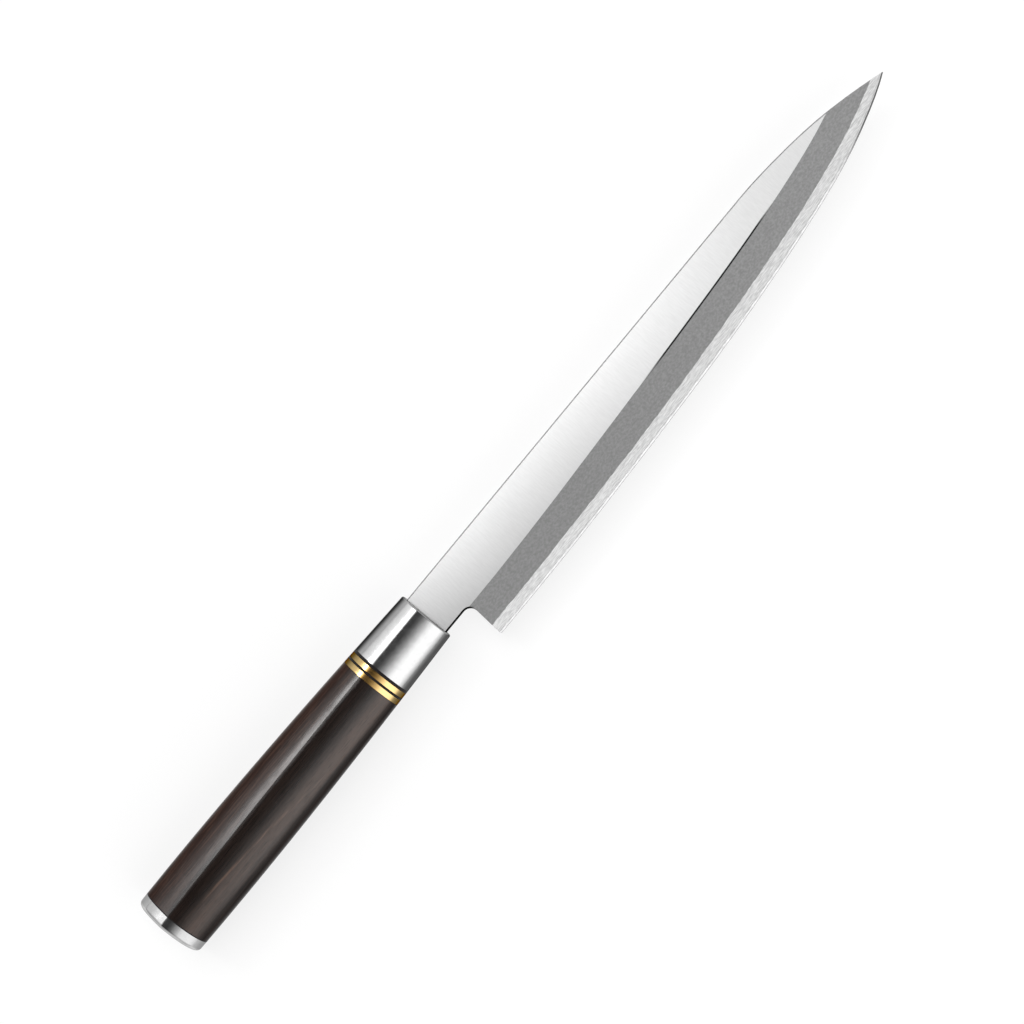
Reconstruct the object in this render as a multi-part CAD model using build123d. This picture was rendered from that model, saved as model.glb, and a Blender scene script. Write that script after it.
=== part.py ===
"""Yanagiba knife: a single-bevel slicing blade on a stacked D-section handle.

The knife lies on its side with its bevel up. X runs along the handle from the butt to the tip,
Y runs from the edge to the spine, and Z runs up out of the bevel face. The pieces are drawn from
the middle of the bolster's front face, then all are moved so that the origin lies under the
middle of the whole knife, on the surface it rests on. All sizes are in millimetres.
"""
import os
from math import cos, pi, radians, sin
from build123d import *

# Blade, heel to tip
blade_length = 240.6
blade_depth = 33.4
spine_height = 9.0
heel_thickness = 3.0
tip_thickness = 1.7
spine_chamfer = 0.4
back_chamfer = 0.25

# Cutting edge
edge_land = 0.12
final_bevel_width = 0.8
final_bevel_lift = 0.42

# Neck and finger notch
neck_length = 11.8
neck_depth = 18.25
notch_radius = 3.2
heel_lean = 1.2
heel_corner_radius = 0.5
neck_chamfer = 0.75

# Hollow of the blade's back
hollow_depth = 0.35
hollow_sink = 0.03

# Tang
tang_length = 78.0
tang_depth = 11.0
tail_depth = 6.0
tang_thickness = 2.6

# Handle, from the bolster's front face to the butt
handle_length = 143.6
front_half_height = 11.05
front_swell_height = 12.9
rear_swell_height = 14.4
butt_half_height = 13.6
front_ridge_offset = 4.2
middle_ridge_offset = 4.15
butt_ridge_offset = 2.3
ridge_easing = 0.45

# Stack of the handle
bolster_length = 24.95
bolster_wall = 3.5
bolster_rounding = 0.7
front_spacer_length = 1.05
ring_length = 2.25
middle_spacer_length = 0.7
ring_chamfer = 0.12
cap_spacer_length = 0.4
cap_length = 4.7
cap_rounding = 1.6

# Tenon of the grip, which carries the rings and the bolster
tenon_wall = 1.9
tenon_cheek = 3.2
fit_gap = 0.15
glue_gap = 0.3

# Resin bed of the tang, rod and its nut, and the cap's spigot behind them
bedding_gap = 0.5
rod_diameter = 5.0
rod_gap = 0.3
rod_lap = 12.0
rod_end = 1.5
counterbore_diameter = 14.0
washer_thickness = 1.0
nut_width = 8.0
nut_thickness = 4.0
spigot_length = 4.0
spigot_gap = 2.0

# How far a cutting shape runs past what it cuts
overrun = 5.0

# How far the cuts for the bevels run on past their two lines, in shares of the lines' distance
inside_run_share = 0.5
outside_run_share = 1.5

# Steps of each lengthwise sweep of sections, and of each rounded rim
length_steps = 5
rim_steps = 4

# Shares of the handle's half height, for its D section
back_thickness_share = 0.79
ridge_rise_share = 0.86
round_share = 0.5523
ridge_tilt = radians(24.0)

# Shares of the blade's length from the heel, then shares of its depth down from the spine
edge_shares = [
    (-0.02, 1.000),
    (0.15, 0.999),
    (0.35, 0.958),
    (0.55, 0.888),
    (0.70, 0.796),
    (0.80, 0.707),
    (0.88, 0.602),
    (0.94, 0.484),
    (1.00, 0.320),
    (1.02, 0.242),
]
shinogi_shares = [
    (-0.02, 0.554),
    (0.15, 0.538),
    (0.35, 0.478),
    (0.55, 0.409),
    (0.70, 0.334),
    (0.80, 0.259),
    (0.88, 0.164),
    (0.94, 0.060),
    (1.00, -0.061),
    (1.02, -0.106),
]
spine_shares = [
    (0.72, 0.000),
    (0.80, 0.030),
    (0.88, 0.103),
    (0.94, 0.198),
    (1.00, 0.320),
    (1.02, 0.366),
]

# Hollow of the back: share of the length, of the depth to its upper and lower rim, of its own depth
hollow_shares = [
    (0.03, 0.40, 0.62, -0.05),
    (0.06, 0.12, 0.89, 0.50),
    (0.15, 0.07, 0.93, 1.00),
    (0.35, 0.07, 0.89, 1.00),
    (0.55, 0.07, 0.82, 1.00),
    (0.70, 0.08, 0.73, 0.90),
    (0.80, 0.11, 0.64, 0.75),
    (0.88, 0.19, 0.53, 0.50),
    (0.94, 0.29, 0.40, -0.05),
]

back_level = -heel_thickness / 2
neck_underside = spine_height - neck_depth
bedding_half_height = tang_depth / 2 + bedding_gap
bedding_half_thickness = rod_diameter / 2 + fit_gap
tenon_half_height = bedding_half_height + tenon_wall
tenon_half_thickness = bedding_half_thickness + tenon_cheek

# Depths behind the bolster's front face
first_ring = bolster_length + front_spacer_length
middle_spacer = first_ring + ring_length
second_ring = middle_spacer + middle_spacer_length
grip_front = second_ring + ring_length
cap_front = handle_length - cap_length
grip_back = cap_front - cap_spacer_length
spigot_front = grip_back - spigot_length
nut_back = spigot_front - spigot_gap - rod_end
washer_back = nut_back - nut_thickness
counterbore_floor = washer_back - washer_thickness


def blade_x(length_share):
    """Place along the knife of a share of the blade's length from the heel."""
    return neck_length + length_share * blade_length


def blade_y(depth_share):
    """Height of a share of the blade's depth down from the spine."""
    return spine_height - depth_share * blade_depth


def face_level(x):
    """Level of the blade's flat upper face, which falls evenly from heel to tip."""
    fall = (heel_thickness - tip_thickness) * (x - neck_length) / blade_length
    return back_level + heel_thickness - fall


def station_line(points):
    """Smooth line through points, paced by their place along the blade."""
    first = points[0].X
    reach = points[-1].X - first
    pace = [(point.X - first) / reach for point in points]
    return Edge.make_spline(points, parameters=pace)


def cut_above(inner, outer):
    """Solid above the straight-ruled surface through two lines of points, run on past both lines."""
    near = station_line([a + (a - b) * inside_run_share for a, b in zip(inner, outer)])
    far = station_line([b + (b - a) * outside_run_share for a, b in zip(inner, outer)])
    surface = Face.make_surface_from_curves(near, far)
    return extrude(surface, amount=heel_thickness + overrun, dir=(0, 0, 1))


def blade_outline():
    """Side view of the blade and neck, from the bolster's front face to the tip."""
    low = [Vector(blade_x(a), blade_y(b), 0) for a, b in edge_shares]
    start = Vector(low[0].X, spine_height, 0)
    end = Vector(low[-1].X, spine_height, 0)
    sides = [Edge.make_line(low[-1], end), Edge.make_line(end, start), Edge.make_line(start, low[0])]
    body = Face(Wire([station_line(low)] + sides))

    drop = [Vector(blade_x(a), blade_y(b), 0) for a, b in spine_shares]
    after, before = [Vector(point.X, spine_height + overrun, 0) for point in (drop[-1], drop[0])]
    fall = Edge.make_spline(drop, tangents=[(1, 0, 0), drop[-1] - drop[-2]])
    lid = [Edge.make_line(drop[-1], after), Edge.make_line(after, before), Edge.make_line(before, drop[0])]
    body -= Face(Wire([fall] + lid))

    corner = (neck_length + heel_lean, neck_underside)
    neck_end = (blade_x(edge_shares[1][0]), spine_height)
    foot = blade_y(1) - overrun
    foot_x = neck_length - heel_lean * overrun / (blade_depth - neck_depth)
    neck = Polyline((0, spine_height), neck_end, corner, (0, neck_underside), close=True)
    notch = Polyline((-overrun, neck_underside), corner, (foot_x, foot), (-overrun, foot), close=True)
    shape = body + make_face(neck) - make_face(notch)
    inside = shape.vertices().sort_by_distance(corner)[0]
    shape = fillet(inside, notch_radius)
    heel = shape.vertices().sort_by_distance((neck_length, blade_y(1), 0))[0]
    return fillet(heel, heel_corner_radius)


def blade_blank():
    """Outline at full thickness, with its upper face ground to the taper and its edges eased."""
    last = blade_x(edge_shares[-1][0]) + overrun
    top = face_level(0) + overrun
    blank = extrude(Pos(0, 0, back_level) * blade_outline(), amount=top - back_level)
    first = -overrun
    corners = [(first, face_level(first)), (last, face_level(last)), (last, top), (first, top)]
    waste = Plane.XZ * make_face(Polyline(*corners, close=True))
    blank -= extrude(waste, amount=blade_depth + overrun, both=True)

    upper = [edge for edge in blank.faces().sort_by(Axis.Z)[-1].edges() if edge.center().X > spine_chamfer]
    eased = [edge for edge in upper if edge.center().X < blade_x(0) + heel_lean or edge.center().Y > 0]
    blank = chamfer(eased, spine_chamfer)
    lower = [edge for edge in blank.faces().sort_by(Axis.Z)[0].edges() if edge.center().X > spine_chamfer]
    return chamfer([edge for edge in lower if edge.center().Y > 0], back_chamfer)


def neck_ease():
    """Cut that eases the neck's lower edge and runs on round the notch's corner."""
    corners = blade_outline().edges().filter_by(GeomType.CIRCLE)
    bend = corners.sort_by_distance((neck_length, neck_underside, 0))[0].arc_center
    ends = []
    for x in (-overrun, bend.X):
        level = face_level(x)
        inner = (neck_underside + neck_chamfer + overrun, level + overrun)
        outer = (neck_underside - overrun, level - neck_chamfer - overrun)
        corner = (neck_underside - overrun, level + overrun)
        ends.append(Plane.YZ.offset(x) * make_face(Polyline(inner, outer, corner, close=True)))
    height = neck_chamfer + overrun
    upright = (Align.CENTER, Align.CENTER, Align.MIN)
    around = Cone(notch_radius, notch_radius + height, height, align=upright)
    return loft(ends, ruled=True), Pos(bend.X, bend.Y, face_level(bend.X) - neck_chamfer) * around


def back_hollow():
    """Cut for the shallow hollow ground along the blade's back, inside a flat rim."""
    sections = []
    for length_share, high_share, low_share, rise_share in hollow_shares:
        low = (blade_y(low_share), back_level - hollow_sink)
        high = (blade_y(high_share), back_level - hollow_sink)
        middle = ((low[0] + high[0]) / 2, back_level + hollow_depth * rise_share)
        outline = Curve() + [ThreePointArc(low, middle, high), Line(high, low)]
        sections.append(Plane.YZ.offset(blade_x(length_share)) * make_face(outline))
    return loft(sections)


def make_tang():
    """Flat tang that tapers away behind the neck."""
    front = Plane.YZ.offset(neck_length / 2) * Rectangle(tang_depth, tang_thickness)
    root = Plane.YZ * Rectangle(tang_depth, tang_thickness)
    tail = Plane.YZ.offset(-tang_length) * Rectangle(tail_depth, tang_thickness)
    return loft([tail, root], ruled=True) + loft([root, front], ruled=True)


def make_blade():
    """Blade with its flat, bevel, fine edge bevel, hollow back, neck and tapering tang."""
    shinogi = [Vector(blade_x(a), blade_y(b), face_level(blade_x(a))) for a, b in shinogi_shares]
    bevel_foot = back_level + final_bevel_lift
    foot = [Vector(blade_x(a), blade_y(b) + final_bevel_width, bevel_foot) for a, b in edge_shares]
    land = [Vector(blade_x(a), blade_y(b), back_level + edge_land) for a, b in edge_shares]
    blade = blade_blank() - cut_above(shinogi, foot) - cut_above(foot, land)
    for cut in neck_ease():
        blade -= cut
    return blade - back_hollow() + make_tang()


def half_height(station):
    """Half height of the handle at a depth behind the bolster's face, along its long swell."""
    u = station / handle_length
    v = 1 - u
    ends = v**3 * front_half_height + u**3 * butt_half_height
    return ends + 3 * v * u * (v * front_swell_height + u * rear_swell_height)


def ridge_offset(station):
    """Distance of the ridge from the handle's middle, towards the spine."""
    u = station / handle_length
    v = 1 - u
    return v * v * front_ridge_offset + 2 * v * u * middle_ridge_offset + u * u * butt_ridge_offset


def handle_section(station, inset=0):
    """D section of the handle: round at the back and ends, with one eased ridge above the middle."""
    half = half_height(station) - inset
    back = half_height(station) * back_thickness_share - inset
    rise = half_height(station) * ridge_rise_share - inset
    ridge = ridge_offset(station)
    spine_side, edge_side, bottom, top = (half, 0), (-half, 0), (0, -back), (ridge, rise)
    reach = (half - ridge) * round_share
    falling = (ridge + reach * cos(ridge_tilt), rise - reach * sin(ridge_tilt))
    level = (ridge - (half + ridge) * round_share, rise)
    after = (ridge + ridge_easing * cos(ridge_tilt), rise - ridge_easing * sin(ridge_tilt))
    before = (ridge - ridge_easing, rise)
    pieces = [
        Bezier(spine_side, (half, rise * round_share), falling, after),
        Bezier(after, top, before),
        Bezier(before, level, (-half, rise * round_share), edge_side),
        Bezier(edge_side, (-half, -back * round_share), (-half * round_share, -back), bottom),
        Bezier(bottom, (half * round_share, -back), (half, -back * round_share), spine_side),
    ]
    return Plane.YZ.offset(-station) * make_face(Curve() + pieces)


def handle_run(front, back):
    """Smooth length of the handle's form between two depths behind the bolster's face."""
    stations = [back + (front - back) * step / length_steps for step in range(length_steps + 1)]
    return loft([handle_section(station) for station in stations])


def round_rim(end, inward, radius):
    """Rounded rim that closes the handle's form at one end; inward is 1 towards the butt, else -1."""
    sections = []
    for step in range(rim_steps + 1):
        turn = pi / 2 * step / rim_steps
        station = end + inward * radius * (1 - sin(turn))
        sections.append(handle_section(station, radius * (1 - cos(turn))))
    return loft(sections)


def plate(front, length, bevel=0):
    """Thin plate of the handle's form, with both outer edges bevelled if asked."""
    back = front + length
    if not bevel:
        return loft([handle_section(back), handle_section(front)], ruled=True)
    middle = [handle_section(back - bevel), handle_section(front + bevel)]
    return loft([handle_section(back, bevel)] + middle + [handle_section(front, bevel)], ruled=True)


def bar(sketch, front, back):
    """Sketch across the handle's axis, drawn out between two depths behind the bolster's face."""
    return extrude(Plane.YZ.offset(-back) * sketch, amount=back - front)


def tenon_hole():
    """Oval hole that passes the grip's tenon with a small clearance."""
    return Ellipse(tenon_half_height + fit_gap, tenon_half_thickness + fit_gap)


def stack_ring(front, length, bevel=0):
    """Plate of the stack, bored for the tenon."""
    return plate(front, length, bevel) - bar(tenon_hole(), front - overrun, front + length + overrun)


def make_bolster():
    """Bolster with a rounded front rim, closed there but for the tang's slot, and bored behind."""
    block = handle_run(bolster_rounding, bolster_length) + round_rim(0, 1, bolster_rounding)
    slot = Rectangle(tang_depth + 2 * fit_gap, tang_thickness + 2 * fit_gap)
    block -= bar(tenon_hole(), bolster_wall, bolster_length + overrun)
    return block - bar(slot, -overrun, bolster_wall + overrun)


def bedding_space():
    """Slot through the tenon and into the grip, in which the tang is set."""
    outline = SlotOverall(2 * bedding_half_height, 2 * bedding_half_thickness)
    return bar(outline, bolster_wall + glue_gap, tang_length + bedding_half_thickness)


def make_grip():
    """Grip with its tenon, the tang's slot, the rod's bore and the counterbore for the nut."""
    tenon = Ellipse(tenon_half_height, tenon_half_thickness)
    grip = handle_run(grip_front, grip_back)
    grip += bar(tenon, bolster_wall + glue_gap, grip_front + overrun)
    grip -= bedding_space()
    grip -= bar(Circle(rod_diameter / 2 + rod_gap), tang_length, counterbore_floor + overrun)
    return grip - bar(Circle(counterbore_diameter / 2), counterbore_floor, grip_back + overrun)


def make_rod():
    """Rod slotted over the tang's tail in front, and standing out of the nut behind."""
    front = tang_length - rod_lap
    slot = Rectangle(2 * rod_diameter, tang_thickness)
    rod = bar(Circle(rod_diameter / 2), front, nut_back + rod_end)
    return rod - bar(slot, front - overrun, tang_length)


def make_washer():
    """Washer on the counterbore's floor."""
    disc = Circle(counterbore_diameter / 2 - glue_gap) - Circle(rod_diameter / 2 + fit_gap)
    return bar(disc, counterbore_floor, washer_back)


def make_nut():
    """Hexagon nut on the end of the rod."""
    hexagon = RegularPolygon(nut_width / 2, 6, major_radius=False) - Circle(rod_diameter / 2)
    return bar(hexagon, washer_back, nut_back)


def make_cap_spacer():
    """Liner between the grip and the end cap, with a hole for the cap's spigot."""
    liner = plate(grip_back, cap_spacer_length)
    hole = bar(Circle(counterbore_diameter / 2), grip_back - overrun, grip_back + overrun)
    return liner - hole


def make_cap():
    """End cap with a rounded rim and a spigot that fills the mouth of the counterbore."""
    cap = handle_run(cap_front, handle_length - cap_rounding) + round_rim(handle_length, -1, cap_rounding)
    spigot = Circle(counterbore_diameter / 2 - fit_gap)
    return cap + bar(spigot, spigot_front, cap_front + cap_length / 2)


def all_pieces():
    """Every piece by name, drawn from the middle of the bolster's front face."""
    blade = make_blade()
    rod = make_rod()
    return {
        "blade": blade,
        "bolster": make_bolster(),
        "front_spacer": stack_ring(bolster_length, front_spacer_length),
        "front_ring": stack_ring(first_ring, ring_length, ring_chamfer),
        "middle_spacer": stack_ring(middle_spacer, middle_spacer_length),
        "rear_ring": stack_ring(second_ring, ring_length, ring_chamfer),
        "grip": make_grip(),
        "tang_bedding": bedding_space() - blade - rod,
        "tang_rod": rod,
        "rod_washer": make_washer(),
        "rod_nut": make_nut(),
        "cap_spacer": make_cap_spacer(),
        "end_cap": make_cap(),
    }


def main():
    """Move the knife over its own middle and write one file for each piece."""
    pieces = all_pieces()
    box = Compound([solid for piece in pieces.values() for solid in piece.solids()]).bounding_box()
    centre = box.center()
    to_origin = Pos(-centre.X, -centre.Y, -box.min.Z)
    os.makedirs("parts", exist_ok=True)
    for name, piece in pieces.items():
        export_step(to_origin * piece, f"parts/{name}.step")


if __name__ == "__main__":
    main()
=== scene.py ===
from math import radians

import bpy
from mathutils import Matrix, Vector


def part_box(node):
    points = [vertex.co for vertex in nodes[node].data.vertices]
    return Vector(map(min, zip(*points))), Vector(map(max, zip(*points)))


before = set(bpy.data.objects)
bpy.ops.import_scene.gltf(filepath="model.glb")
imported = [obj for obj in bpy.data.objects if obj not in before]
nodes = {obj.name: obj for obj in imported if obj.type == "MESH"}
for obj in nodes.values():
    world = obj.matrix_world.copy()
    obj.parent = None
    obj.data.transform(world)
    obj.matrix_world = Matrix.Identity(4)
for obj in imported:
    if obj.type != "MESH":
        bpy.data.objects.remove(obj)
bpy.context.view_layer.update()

# Blade
# One forged bar of stainless steel, ground on the right side only: a satin flat along the spine, a
# matt bevel below it and a brighter band along the edge. Its back is hollow ground inside a flat rim.

neck_length = 0.0118
blade_length = 0.2406
blade_depth = 0.0334
heel_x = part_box("bolster")[1].x + neck_length
back_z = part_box("blade")[0].z
spine_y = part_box("blade")[1].y

# Heights above the blade's back between which a grey fades in
edge_height = (0.00023, 0.00017)
tip_edge_height = (0.00040, 0.00032)
land_line_top = (0.00048, 0.00044)
land_line_foot = (0.00041, 0.00043)

# Shares of the blade's length or depth, or of a face's turn, between which something fades in or out.
# Where there are four numbers, the last two are the levels at the two ends.
# The next three set the painted shade on the flat: towards the neck, towards the tip and down from the spine
neck_painted_shade = (-0.12, 0.10, 0.86, 1.0)
tip_painted_shade = (0.40, 0.85, 1.0, 0.79)
painted_shade_from_spine = (-0.1, 0.95, 0.36, 0.0)
# Painted light on the bevel towards the tip
bevel_painted_light = (0.1, 1.0)
band_border = (-0.003, 0.003)
band_waver = 0.008
tip_edge_start = (0.82, 0.93)
dark_line_width = (0.013, 0.005)
dark_line_start = (0.41, 0.48)
dark_line_end = (0.75, 0.70)
upward_turn = (0.0, 0.1)
bevel_turn = (-0.03, -0.06)
corner_turn_start = (0.92, 0.82)
corner_turn_end = (0.3, 0.4)
under_neck_turn = (-0.15, -0.5)

# Marks to the metre along, across and up, as they are drawn out by the grinding
flat_marks = (2600, 280, 280)
bevel_marks = (1000, 1400, 1400)
band_marks = (400, 3000, 3000)
waver_marks = (350, 350, 350)

# Greys of the ground faces, each from its dull marks to its bright ones
flat_greys = (0.912, 0.968)
bevel_greys = (0.255, 0.335)
band_greys = (0.59, 0.88)
# Gain of the painted light on the bevel at the tip
bevel_tip_light_gain = 1.12
# Painted shade: the dark line over the fine edge bevel, the grey of the edge and its darker grey near the tip
land_shade_share = 0.18
painted_edge_grey = 0.42
painted_tip_edge_grey = 0.13
# Grey of the painted shade line along the bevel line
shinogi_shade_grey = 0.02
# Greys of the painted shade on the eased corners and under the neck
corner_shade_grey = 0.26
under_neck_shade_grey = 0.008
blade_roughness = (0.55, 0.60)
# Strength of the marks in relief, then their depth
blade_relief = (0.06, 0.00005)

# Shares of the blade's length from the heel, then of its depth down from the spine
bevel_line = [
    (-0.02, 0.554),
    (0.15, 0.538),
    (0.35, 0.478),
    (0.55, 0.409),
    (0.70, 0.334),
    (0.80, 0.259),
    (0.88, 0.164),
    (0.94, 0.060),
    (1.00, -0.061),
]
band_line = [
    (-0.02, 0.870),
    (0.15, 0.855),
    (0.35, 0.816),
    (0.55, 0.734),
    (0.70, 0.643),
    (0.80, 0.557),
    (0.88, 0.457),
    (0.94, 0.353),
    (1.00, 0.214),
]


def put(tree, kind, inputs=None, **settings):
    """Adds a shader node, sets it, and gives each named input a value or another node's output."""
    made = tree.nodes.new("ShaderNode" + kind)
    for name, value in settings.items():
        setattr(made, name, value)
    for name, value in (inputs or {}).items():
        if isinstance(value, bpy.types.NodeSocket):
            tree.links.new(value, made.inputs[name])
        else:
            made.inputs[name].default_value = value
    return made


def reckon(tree, operation, first, second=0.0):
    """Output of one sum on two values."""
    return put(tree, "Math", {0: first, 1: second}, operation=operation).outputs[0]


def product(tree, first, second):
    """Output of two values multiplied."""
    return reckon(tree, "MULTIPLY", first, second)


def ease(tree, value, low, high, to_low=0.0, to_high=1.0):
    """Output that eases from one value to another while its source goes from low to high."""
    inputs = {0: value, 1: low, 2: high, 3: to_low, 4: to_high}
    return put(tree, "MapRange", inputs, interpolation_type="SMOOTHSTEP").outputs[0]


def ease_straight(tree, value, low, high):
    """Share of the way from low to high."""
    return put(tree, "MapRange", {0: value, 1: low, 2: high, 3: 0.0, 4: 1.0}).outputs[0]


def grey(level):
    """Colour of one level."""
    return (level, level, level)


def tint(tree, share, first, second, mode="MIX"):
    """Output of two colours mixed by a share."""
    pair = {0: share}
    for socket, colour in ((6, first), (7, second)):
        pair[socket] = (*colour, 1) if isinstance(colour, tuple) else colour
    return put(tree, "Mix", pair, data_type="RGBA", blend_type=mode).outputs[2]


def between_greys(tree, share, pair):
    """Output of two greys mixed by a share."""
    return tint(tree, share, grey(pair[0]), grey(pair[1]))


def follow(tree, share, line, lift=0.2):
    """Depth share of a line at a share of the length, through a smooth curve lifted clear of nought."""
    first, last = line[0][0], line[-1][0]
    curve = put(tree, "FloatCurve", {1: ease_straight(tree, share, first, last)})
    points = curve.mapping.curves[0].points
    for _ in line[2:]:
        points.new(0.5, 0.5)
    for point, (along, depth) in zip(points, line):
        point.location = ((along - first) / (last - first), depth + lift)
    curve.mapping.update()
    return reckon(tree, "SUBTRACT", curve.outputs[0], lift)


def make_marks():
    """Grinding marks or grain: noise drawn out by a scale along each axis."""
    group = bpy.data.node_groups.new("Drawn marks", "ShaderNodeTree")
    for name, kind in (("Place", "Vector"), ("Scale", "Vector"), ("Detail", "Float")):
        group.interface.new_socket(name, in_out="INPUT", socket_type="NodeSocket" + kind)
    group.interface.new_socket("Marks", in_out="OUTPUT", socket_type="NodeSocketFloat")
    given, out = group.nodes.new("NodeGroupInput").outputs, group.nodes.new("NodeGroupOutput")
    place = put(group, "VectorMath", {0: given["Place"], 1: given["Scale"]}, operation="MULTIPLY")
    noise = put(group, "TexNoise", {"Vector": place.outputs[0], "Scale": 1.0, "Detail": given["Detail"]})
    group.links.new(ease(group, noise.outputs[0], 0.25, 0.75), out.inputs["Marks"])
    return group


marks_group = make_marks()


def marks(tree, place, scale, detail=3.0):
    """Output of the drawn marks at one scale."""
    made = put(tree, "Group", node_tree=marks_group)
    tree.links.new(place, made.inputs["Place"])
    made.inputs["Scale"].default_value = scale
    made.inputs["Detail"].default_value = detail
    return made.outputs["Marks"]


def new_finish(name, metallic=0.0, roughness=0.5):
    """Material with its shader and its place in the object."""
    finish = bpy.data.materials.new(name)
    finish.use_nodes = True
    tree = finish.node_tree
    shader = tree.nodes["Principled BSDF"]
    shader.inputs["Metallic"].default_value = metallic
    shader.inputs["Roughness"].default_value = roughness
    return finish, tree, shader, put(tree, "TexCoord").outputs


def relieve(tree, shader, height, relief):
    """Raises marks on a surface."""
    bump = put(tree, "Bump", {"Strength": relief[0], "Distance": relief[1], "Height": height})
    tree.links.new(bump.outputs[0], shader.inputs["Normal"])


def dress(finish, *names):
    """Gives carried-over pieces their finish."""
    for name in names:
        nodes[name].data.materials.clear()
        nodes[name].data.materials.append(finish)


def blade_finish():
    """Ground steel with its flat, bevel, band, edge, eased corners and hollow back, with painted light and
    shade on the flat, the bevel, the edge and the corners.
    """
    finish, tree, shader, given = new_finish("Ground blade steel", metallic=1.0)
    place = given["Object"]
    axis = put(tree, "SeparateXYZ", {0: place}).outputs
    facing = put(tree, "SeparateXYZ", {0: given["Normal"]}).outputs
    along = reckon(tree, "DIVIDE", reckon(tree, "SUBTRACT", axis["X"], heel_x), blade_length)
    down = reckon(tree, "DIVIDE", reckon(tree, "SUBTRACT", spine_y, axis["Y"]), blade_depth)
    level = reckon(tree, "SUBTRACT", axis["Z"], back_z)
    shinogi = follow(tree, along, bevel_line)

    crosswise = marks(tree, place, flat_marks, detail=5.0)
    mottle = marks(tree, place, bevel_marks, detail=6.0)
    lengthwise = marks(tree, place, band_marks, detail=5.0)
    waver = marks(tree, place, waver_marks, detail=4.0)

    # Satin flat, with painted light along the spine and painted shade towards the neck, the tip and the bevel
    # line
    polish_and_painted_light = product(tree, ease(tree, along, *neck_painted_shade), ease(tree, along, *tip_painted_shade))
    across = reckon(tree, "DIVIDE", down, shinogi)
    fall = product(tree, across, ease(tree, along, *painted_shade_from_spine))
    polish_and_painted_light = product(tree, polish_and_painted_light, reckon(tree, "SUBTRACT", 1.0, fall))
    flat = tint(tree, polish_and_painted_light, grey(0.0), between_greys(tree, crosswise, flat_greys))

    # Matt bevel, with painted light making it a little paler towards the tip
    matt = between_greys(tree, mottle, bevel_greys)
    paler = tint(tree, 1.0, matt, grey(bevel_tip_light_gain), "MULTIPLY")
    matt = tint(tree, ease(tree, along, *bevel_painted_light), matt, paler)

    # Bright band, with a faint painted shade line over the fine edge bevel, a painted grey on the fine edge
    # bevel itself and a painted darker edge near the tip
    bright = between_greys(tree, lengthwise, band_greys)
    shade = product(tree, ease(tree, level, *land_line_top), ease(tree, level, *land_line_foot))
    bright = tint(tree, product(tree, shade, land_shade_share), bright, grey(0.0))
    wander = product(tree, reckon(tree, "SUBTRACT", waver, 0.5), band_waver)
    below = reckon(tree, "SUBTRACT", reckon(tree, "ADD", down, wander), follow(tree, along, band_line))
    in_band = ease(tree, below, *band_border)
    bevel = tint(tree, in_band, matt, bright)
    bevel = tint(tree, ease(tree, level, *edge_height), bevel, grey(painted_edge_grey))
    tip_edge = product(tree, ease(tree, level, *tip_edge_height), ease(tree, along, *tip_edge_start))
    bevel = tint(tree, tip_edge, bevel, grey(painted_tip_edge_grey))

    upper = ease(tree, facing["Z"], *upward_turn)
    on_bevel = product(tree, ease(tree, facing["Y"], *bevel_turn), upper)
    colour = tint(tree, on_bevel, flat, bevel)

    # Painted shade line where the flat meets the bevel, along the middle of the blade
    off = reckon(tree, "ABSOLUTE", reckon(tree, "SUBTRACT", down, shinogi))
    stretch = product(tree, ease(tree, along, *dark_line_start), ease(tree, along, *dark_line_end))
    line = product(tree, ease(tree, off, *dark_line_width), stretch)
    colour = tint(tree, product(tree, line, upper), colour, grey(shinogi_shade_grey))

    # Painted shade on the eased corners, darkest under the neck
    eased = product(tree, ease(tree, facing["Z"], *corner_turn_start),
                    ease(tree, facing["Z"], *corner_turn_end))
    under_neck = ease(tree, facing["Y"], *under_neck_turn)
    corner = between_greys(tree, under_neck, (corner_shade_grey, under_neck_shade_grey))
    colour = tint(tree, eased, colour, corner)
    tree.links.new(colour, shader.inputs["Base Color"])

    matt_part = product(tree, on_bevel, reckon(tree, "SUBTRACT", 1.0, in_band))
    tree.links.new(ease(tree, matt_part, 0.0, 1.0, *blade_roughness), shader.inputs["Roughness"])
    relieve(tree, shader, tint(tree, on_bevel, crosswise, mottle), blade_relief)
    return finish


dress(blade_finish(), "blade")

# Rod, washer and nut
# A slotted steel rod is brazed over the end of the tang, and a nut on a washer pulls the stack
# together from the butt. They are plain machined steel, and the grip and the end cap hide them.

turning_marks = (4000, 60, 60)
turned_steels = ((0.42, 0.42, 0.43), (0.58, 0.58, 0.59))
turned_roughness = (0.3, 0.45)


def turned_finish():
    """Plain machined steel with fine turning marks."""
    finish, tree, shader, given = new_finish("Turned plain steel", metallic=1.0)
    turning = marks(tree, given["Object"], turning_marks)
    tree.links.new(tint(tree, turning, *turned_steels), shader.inputs["Base Color"])
    tree.links.new(ease(tree, turning, 0.0, 1.0, *turned_roughness), shader.inputs["Roughness"])
    return finish


dress(turned_finish(), "tang_rod", "rod_washer", "rod_nut")

# Bedding of the tang
# Resin poured round the tang and the front of the rod, which fills the slot in the grip and holds the
# blade. It is honey coloured with fine bubbles, and closed in by the bolster and the grip.

clouds = (120, 120, 120)
bubbles_to_the_metre = 900.0
bubble_share = (0.0, 0.25, 0.5, 0.0)
honey_colours = ((0.45, 0.33, 0.16), (0.62, 0.50, 0.28))
bubble_colour = (0.80, 0.74, 0.58)
resin_roughness = 0.25


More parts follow.
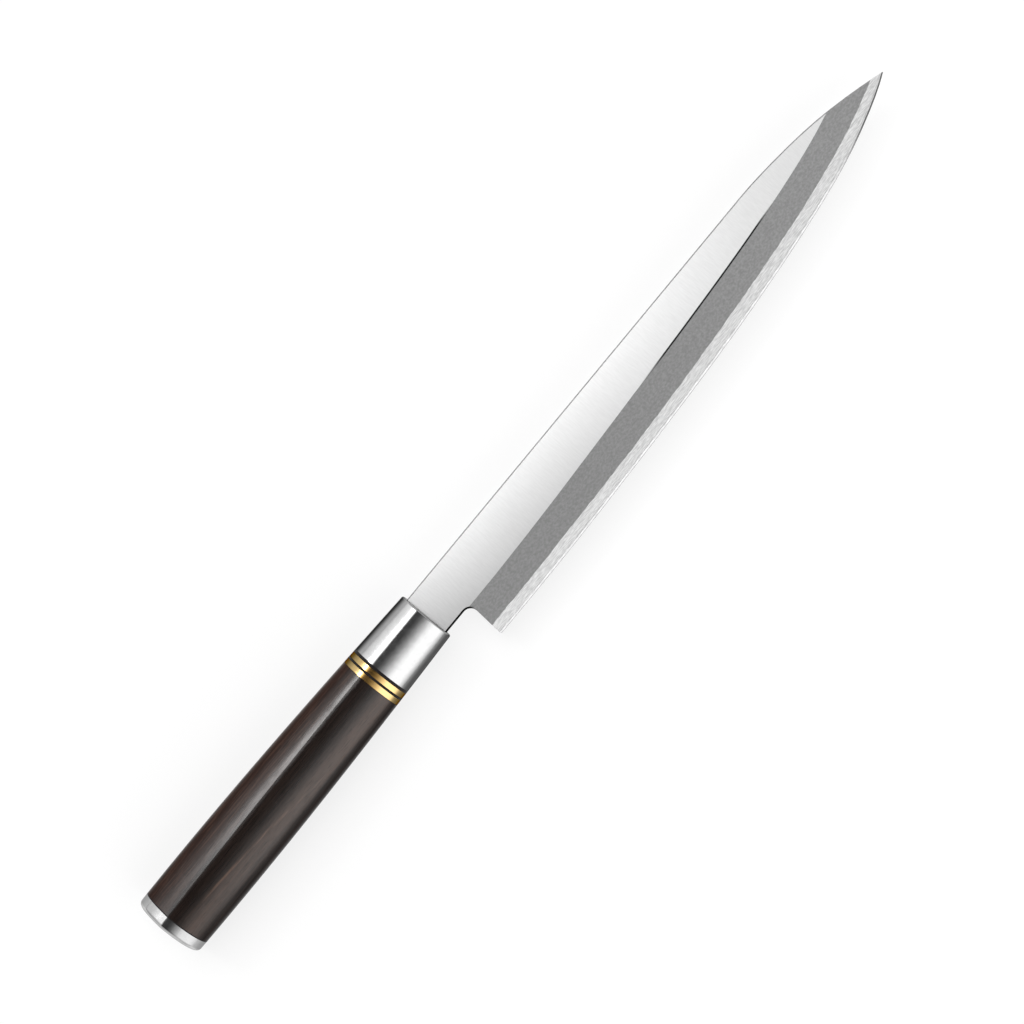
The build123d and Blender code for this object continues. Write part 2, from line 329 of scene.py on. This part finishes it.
def resin_finish():
    """Cast resin with fine bubbles."""
    finish, tree, shader, given = new_finish("Cast resin", roughness=resin_roughness)
    cells = {"Vector": given["Object"], "Scale": bubbles_to_the_metre}
    bubbles = put(tree, "TexVoronoi", cells).outputs[0]
    colour = tint(tree, marks(tree, given["Object"], clouds), *honey_colours)
    colour = tint(tree, ease(tree, bubbles, *bubble_share), colour, bubble_colour)
    tree.links.new(colour, shader.inputs["Base Color"])
    return finish


dress(resin_finish(), "tang_bedding")

# Grip
# One piece of dark, close-grained wood, shaped to a D section with one ridge and swelling to the rear.
# It is sanded fine along the grain and oiled, and its tenon carries the rings and the bolster.

grip_low, grip_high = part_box("grip")
grip_middle = (grip_low.y + grip_high.y) / 2

# Marks to the metre along, across and up
broad_grain = (9, 230, 230)
fine_grain = (80, 1500, 1500)
pore_grain = (220, 4200, 4200)

# Places across the grip, from its middle to the spine, between which the painted black shade and the browns
# change
shade_by_edge_half = (-0.0066, -0.0022)
shade_by_spine_half = (0.0052, 0.0036)
shade_at_edge_side = (-0.0085, -0.0108)
brown_shade_change = (-0.004, 0.009)
shade_border_swing = 0.0016

# Pale vein: where it starts, how it falls from the butt, and how it widens and fades
vein_start = -0.0024
vein_fall = 0.028
vein_fall_growth = 0.75
vein_waver = 0.0006
vein_width = (0.0007, 0.0001)
vein_head = (0.0, 0.02)
vein_tail = (0.085, 0.045)
vein_breaks = (0.2, 0.8, 0.2, 0.9)

# Colours, each pair from its dark grain to its pale one
# The spine side browns are a darker, slightly redder copy: painted shade with a redder tone
shaded_spine_browns = ((0.016, 0.0075, 0.0055), (0.032, 0.0145, 0.0102))
edge_browns = ((0.026, 0.0145, 0.0100), (0.054, 0.0290, 0.0185))
# Dark grain of the painted black shade
shade_blacks = ((0.0060, 0.0036, 0.0028), (0.0165, 0.0102, 0.0080))
streak_colour = (0.052, 0.027, 0.019)
pore_colour = (0.006, 0.005, 0.004)
vein_colour = (0.085, 0.048, 0.033)
streak_share = (0.4, 1.0, 0.0, 0.7)
pore_share = (0.75, 0.95, 0.0, 0.6)

# Oiled surface
wood_roughness = 0.3
wood_specular = 0.02
oil_roughness = 0.19
oil_ior = 1.46
butt_dulling = (0.0, 0.045, 0.84, 1.0)
pore_dulling = (0.4, 0.9, 1.0, 0.8)
grain_share = 0.4
wood_relief = (0.2, 0.00006)

# How far a face turns, to the edge when negative and to the spine when positive, then its sheen
grip_sheen = [
    (-1.0, 0.35),
    (-0.93, 0.15),
    (-0.84, 0.03),
    (-0.72, 0.5),
    (-0.66, 0.86),
    (-0.58, 1.0),
    (-0.45, 0.92),
    (-0.2, 0.72),
    (0.05, 0.86),
    (0.2, 1.0),
    (0.49, 1.0),
    (0.54, 0.8),
    (0.66, 0.48),
    (0.74, 0.16),
    (0.84, 0.0),
    (0.93, 0.04),
    (1.0, 0.35),
]


def steps(tree, value, low, high, stops):
    """Output read off a row of stops between two ends."""
    peak = max(level for _, level in stops)
    ramp = put(tree, "ValToRGB", {0: ease_straight(tree, value, low, high)})
    elements = ramp.color_ramp.elements
    for _ in stops[2:]:
        elements.new(0.5)
    for element, (at, level) in zip(elements, stops):
        element.position = (at - low) / (high - low)
        element.color = (level / peak, level / peak, level / peak, 1)
    return product(tree, ramp.outputs[0], peak)


def by_side(tree, facing, stops):
    """Output of a row of stops by how far a face turns to the edge or to the spine."""
    return steps(tree, put(tree, "SeparateXYZ", {0: facing}).outputs["Y"], -1, 1, stops)


def wood_finish():
    """Dark oiled wood with painted black shade under the ridge and along the edge side, a spine side painted
    darker, red-brown figure, fine pores and one pale vein.
    """
    finish, tree, shader, given = new_finish("Dark oiled wood", roughness=wood_roughness)
    shader.inputs["Specular IOR Level"].default_value = wood_specular
    shader.inputs["Coat Roughness"].default_value = oil_roughness
    shader.inputs["Coat IOR"].default_value = oil_ior
    place = given["Object"]
    axis = put(tree, "SeparateXYZ", {0: place}).outputs
    broad = marks(tree, place, broad_grain)
    streaks = marks(tree, place, fine_grain, detail=6.0)
    pores = marks(tree, place, pore_grain, detail=2.0)
    swing = reckon(tree, "SUBTRACT", broad, 0.5)

    # Painted black shade in two lengthwise stripes, under the ridge and along the edge side, with dark grain
    # in it
    rise = reckon(tree, "SUBTRACT", axis["Y"], grip_middle)
    rise = reckon(tree, "ADD", rise, product(tree, swing, shade_border_swing))
    shade_under_ridge = product(tree, ease(tree, rise, *shade_by_edge_half), ease(tree, rise, *shade_by_spine_half))
    black = reckon(tree, "MAXIMUM", shade_under_ridge, ease(tree, rise, *shade_at_edge_side))
    # The spine side is painted a darker brown, as shade
    spine_brown = tint(tree, broad, *shaded_spine_browns)
    edge_brown = tint(tree, broad, *edge_browns)
    brown = tint(tree, ease(tree, rise, *brown_shade_change), edge_brown, spine_brown)
    brown = tint(tree, ease(tree, streaks, *streak_share), brown, streak_colour)
    colour = tint(tree, black, brown, tint(tree, streaks, *shade_blacks))
    colour = tint(tree, ease(tree, pores, *pore_share), colour, pore_colour)

    # Pale vein, which falls from the butt towards the edge side ever more steeply
    ahead = reckon(tree, "SUBTRACT", axis["X"], grip_low.x)
    slope = reckon(tree, "ADD", product(tree, ahead, vein_fall_growth), vein_fall)
    course = reckon(tree, "SUBTRACT", product(tree, swing, vein_waver), product(tree, ahead, slope))
    course = reckon(tree, "ADD", course, grip_middle + vein_start)
    vein = reckon(tree, "ABSOLUTE", reckon(tree, "SUBTRACT", axis["Y"], course))
    shown = product(tree, ease(tree, vein, *vein_width), ease(tree, ahead, *vein_tail))
    shown = product(tree, shown, ease(tree, ahead, *vein_head))
    shown = product(tree, shown, ease(tree, streaks, *vein_breaks))
    colour = tint(tree, shown, colour, vein_colour)
    tree.links.new(colour, shader.inputs["Base Color"])

    # Rubbed to a sheen on the two faces, duller on the sides and at the butt
    rubbed = by_side(tree, given["Normal"], grip_sheen)
    rubbed = product(tree, rubbed, ease(tree, ahead, *butt_dulling))
    rubbed = product(tree, rubbed, ease(tree, pores, *pore_dulling))
    tree.links.new(rubbed, shader.inputs["Coat Weight"])
    height = reckon(tree, "SUBTRACT", product(tree, streaks, grain_share), pores)
    relieve(tree, shader, height, wood_relief)
    return finish


dress(wood_finish(), "grip")

# Brass rings
# Two rings cut from brass plate, with their corners broken, filed to the handle's form with the wood
# and polished. They sit between black spacers.

ring_marks = (3000, 300, 300)
brasses = ((0.545, 0.395, 0.172), (0.61, 0.44, 0.20))
shaded_brass_gains = (0.80, 0.65, 0.45)
brass_rim = (0.20, 0.14, 0.14)
brass_roughness = (0.14, 0.24)
brass_relief = (0.1, 0.00003)

# Painted shade, as a share of the colour, by how far a face turns to the edge or to the spine
ring_painted_shade = [
    (-1.0, 0.65),
    (-0.93, 0.44),
    (-0.86, 0.34),
    (-0.8, 0.34),
    (-0.7, 0.55),
    (-0.62, 1.0),
    (0.44, 1.0),
    (0.55, 0.64),
    (0.73, 0.6),
    (0.82, 0.4),
    (0.88, 0.3),
    (0.95, 0.5),
    (1.0, 0.65),
]
# Painted shade beside the ridge, as a deeper, darker yellow
ring_painted_depth = [(-1.0, 0.0), (-0.36, 0.0), (-0.14, 1.0), (0.2, 1.0), (0.34, 0.0), (1.0, 0.0)]


def scaled(tree, colour, level):
    """Output of a colour times a level, which may pass 1."""
    return put(tree, "VectorMath", {0: colour, 1: level}, operation="MULTIPLY").outputs[0]


def brass_finish():
    """Polished brass with fine marks round the ring, with painted shade on the sides and a painted deeper,
    darker yellow beside the ridge.
    """
    finish, tree, shader, given = new_finish("Polished brass", metallic=1.0)
    shader.inputs["Specular Tint"].default_value = (*brass_rim, 1)
    polish_and_painted_light = marks(tree, given["Object"], ring_marks)
    colour = tint(tree, polish_and_painted_light, *brasses)
    # Painted shade: darker, deeper yellow beside the ridge, and the colour scaled down on the sides
    painted_deeper = tint(tree, 1.0, colour, shaded_brass_gains, "MULTIPLY")
    colour = tint(tree, by_side(tree, given["Normal"], ring_painted_depth), colour, painted_deeper)
    colour = scaled(tree, colour, by_side(tree, given["Normal"], ring_painted_shade))
    tree.links.new(colour, shader.inputs["Base Color"])
    tree.links.new(ease(tree, polish_and_painted_light, 0.0, 1.0, *brass_roughness), shader.inputs["Roughness"])
    relieve(tree, shader, polish_and_painted_light, brass_relief)
    return finish


dress(brass_finish(), "front_ring", "rear_ring")

# Black spacers
# Thin liners of black vulcanised fibre between the metal and the wood, glued and sanded flush. The
# sanding leaves them matt.

flecks_to_the_metre = (1500, 1500, 1500)
fibre_blacks = ((0.005, 0.004, 0.004), (0.014, 0.011, 0.011))
fibre_specular = 0.15
fibre_roughness = (0.45, 0.65)


def fibre_finish():
    """Matt black fibre with faint flecks."""
    finish, tree, shader, given = new_finish("Black fibre")
    shader.inputs["Specular IOR Level"].default_value = fibre_specular
    flecks = marks(tree, given["Object"], flecks_to_the_metre, detail=4.0)
    tree.links.new(tint(tree, flecks, *fibre_blacks), shader.inputs["Base Color"])
    tree.links.new(ease(tree, flecks, 0.0, 1.0, *fibre_roughness), shader.inputs["Roughness"])
    return finish


dress(fibre_finish(), "front_spacer", "middle_spacer", "cap_spacer")

# Bolster and end cap
# Both are machined from stainless steel and buffed to a soft mirror. The bolster closes the stack in
# front round the neck of the blade, and the cap covers the nut at the butt.

buffing_marks = (60, 1800, 1800)
haze_marks = (500, 500, 500)
buffed_greys = (0.385, 0.42)
bolster_rim_grey = 0.2
cap_rim_grey = 0.7
# Painted highlight where a face turns back to the butt
butt_painted_highlight = (-0.06, -0.3, 1.0, 1.3)
buffed_roughness = (0.10, 0.15)
buffed_relief = (0.03, 0.00005)

# Painted light and shade, as a share of the colour, by how far a face turns to the edge or to the spine
bolster_painted_shade = [
    (-1.0, 0.8),
    (-0.95, 0.65),
    (-0.88, 0.3),
    (-0.81, 0.28),
    (-0.67, 0.74),
    (-0.58, 1.0),
    (0.6, 1.0),
    (0.78, 0.84),
    (0.9, 0.32),
    (0.95, 0.32),
    (1.0, 0.8),
]
cap_painted_light = [
    (-1.0, 0.7),
    (-0.85, 0.8),
    (-0.7, 1.25),
    (-0.5, 1.0),
    (0.5, 0.95),
    (0.7, 1.1),
    (0.9, 0.85),
    (1.0, 0.85),
]


def mirror_finish(name, rim_grey, polish_and_painted_light):
    """Buffed steel with faint buffing marks, darkened where it is seen edge on, with painted light and shade
    by side and a painted highlight where a face turns back to the butt.
    """
    finish, tree, shader, given = new_finish(name, metallic=1.0)
    shader.inputs["Specular Tint"].default_value = (*grey(rim_grey), 1)
    haze = marks(tree, given["Object"], haze_marks, detail=5.0)
    # Painted highlight, brighter where a face turns back to the butt
    backward = put(tree, "SeparateXYZ", {0: given["Normal"]}).outputs["X"]
    level = product(tree, by_side(tree, given["Normal"], polish_and_painted_light), ease(tree, backward, *butt_painted_highlight))
    colour = scaled(tree, between_greys(tree, haze, buffed_greys), level)
    tree.links.new(colour, shader.inputs["Base Color"])
    tree.links.new(ease(tree, haze, 0.0, 1.0, *buffed_roughness), shader.inputs["Roughness"])
    relieve(tree, shader, marks(tree, given["Object"], buffing_marks), buffed_relief)
    return finish


dress(mirror_finish("Buffed steel", bolster_rim_grey, bolster_painted_shade), "bolster")
dress(mirror_finish("Buffed cap steel", cap_rim_grey, cap_painted_light), "end_cap")

# Floor
# A plain pale sheet that the knife lies on. It reaches far enough that its edge stays out of sight
# from a low view, and it keeps the knife's soft shadow.

floor_size = 60.0
floor_grey = 0.95
floor_roughness = 0.9
# How far plain white stands in for the sheet where it is seen, which softens its shadows
white_share = 0.75

floor_mesh = bpy.data.meshes.new("floor")
reach = floor_size / 2
corners = [(-reach, -reach, 0), (reach, -reach, 0), (reach, reach, 0), (-reach, reach, 0)]
floor_mesh.from_pydata(corners, [], [(0, 1, 2, 3)])
floor = bpy.data.objects.new("floor", floor_mesh)
bpy.context.scene.collection.objects.link(floor)
paper, paper_tree, paper_shader, _ = new_finish("Pale paper", roughness=floor_roughness)
paper_shader.inputs["Base Color"].default_value = (*grey(floor_grey), 1)
paper_shader.inputs["Specular IOR Level"].default_value = 0.0
ray = put(paper_tree, "LightPath").outputs
seen = reckon(paper_tree, "MAXIMUM", ray["Is Camera Ray"], ray["Is Glossy Ray"])
seen = reckon(paper_tree, "MAXIMUM", seen, ray["Is Transmission Ray"])
white = put(paper_tree, "Emission", {"Strength": 1.0}).outputs[0]
sheets = {0: product(paper_tree, seen, white_share), 1: paper_shader.outputs[0], 2: white}
whitened = put(paper_tree, "MixShader", sheets)
paper_tree.links.new(whitened.outputs[0], paper_tree.nodes["Material Output"].inputs["Surface"])
floor_mesh.materials.append(paper)

# Light
# Two long soft boxes hang parallel to the knife, one on each side, with a smaller one over the blade,
# a bright one that picks out the ridge of the grip, and a pale card beyond each end. They are drawn
# in the world, by the angle from straight up across the knife and by the lean along it.

half_turn = 180
# Angle in degrees, towards the spine when positive, then brightness
side_angles = [
    (-100, 0.10),
    (-90, 1.50),
    (-80, 2.10),
    (-70, 2.40),
    (-60, 2.60),
    (-45, 2.50),
    (-38, 2.10),
    (-30, 1.30),
    (-22, 0.64),
    (-15, 0.25),
    (-8, 0.09),
    (30, 0.20),
    (42, 1.50),
    (48, 2.80),
    (56, 2.40),
    (62, 1.95),
    (70, 1.65),
    (80, 1.50),
    (88, 1.10),
    (95, 0.10),
]
# Lean along the knife as the direction's own share, then the share of the brightness that is left
side_leans = [
    (-1.0, 0.1),
    (-0.6, 0.3),
    (-0.35, 0.6),
    (-0.2, 0.8),
    (-0.08, 1.0),
    (0.2, 1.0),
    (0.35, 0.8),
    (0.6, 0.3),
    (1.0, 0.1),
]
blade_box_angles = [(2, 0.0), (14, 3.15), (40, 3.15), (48, 0.0)]
blade_box_leans = [(-0.15, 0.0), (0.0, 1.0), (0.3, 1.0), (0.7, 0.0)]
ridge_box_angles = [(45, 0.0), (47, 15.0), (52, 15.0), (55, 0.0)]
ridge_box_leans = [(-0.24, 0.0), (-0.20, 0.06), (-0.15, 0.4), (-0.10, 0.9), (-0.04, 1.1), (0.08, 0.0)]
end_card_angles = [(-half_turn, 1.0), (half_turn, 1.0)]
end_card_leans = [(-1.0, 0.7), (-0.85, 0.6), (-0.6, 0.0), (0.6, 0.0), (0.85, 0.6), (1.0, 0.7)]
light_strength = 1.0

studio = bpy.data.worlds.new("studio")
bpy.context.scene.world = studio
studio.use_nodes = True
sky = studio.node_tree
way = put(sky, "SeparateXYZ", {0: put(sky, "TexCoord").outputs["Generated"]}).outputs
angle = reckon(sky, "DEGREES", reckon(sky, "ARCTAN2", way["Y"], way["Z"]))
light = 0.0
for angles, leans in (
    (side_angles, side_leans),
    (blade_box_angles, blade_box_leans),
    (ridge_box_angles, ridge_box_leans),
    (end_card_angles, end_card_leans),
):
    across = steps(sky, angle, -half_turn, half_turn, angles)
    light = reckon(sky, "ADD", light, product(sky, across, steps(sky, way["X"], -1, 1, leans)))
sky.links.new(light, sky.nodes["Background"].inputs["Color"])
sky.nodes["Background"].inputs["Strength"].default_value = light_strength
bpy.context.scene.view_settings.view_transform = "Standard"

# Camera
# It looks straight down on the knife, turned so that the tip points up and to the right. Its places
# are counted in the picture's pixels, as they fall at the handle's middle height.

picture_size = 1024
pixel = 0.240 / 676.5
camera_height = 2600 * pixel
aim_ahead = 134.2 * pixel
aim_aside = 0.41 * pixel
view_turn = radians(-50.4)
sensor_width = 36
nearest_seen = 0.01
bolster_low, bolster_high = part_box("bolster")

camera_data = bpy.data.cameras.new("camera")
camera_data.sensor_width = sensor_width
camera_data.lens = sensor_width * camera_height / (picture_size * pixel)
camera_data.clip_start = nearest_seen
camera = bpy.data.objects.new("camera", camera_data)
bpy.context.scene.collection.objects.link(camera)
handle_middle = (bolster_low + bolster_high) / 2
camera.location = (bolster_high.x + aim_ahead, handle_middle.y + aim_aside, handle_middle.z + camera_height)
camera.rotation_euler = (0, 0, view_turn)
bpy.context.scene.camera = camera
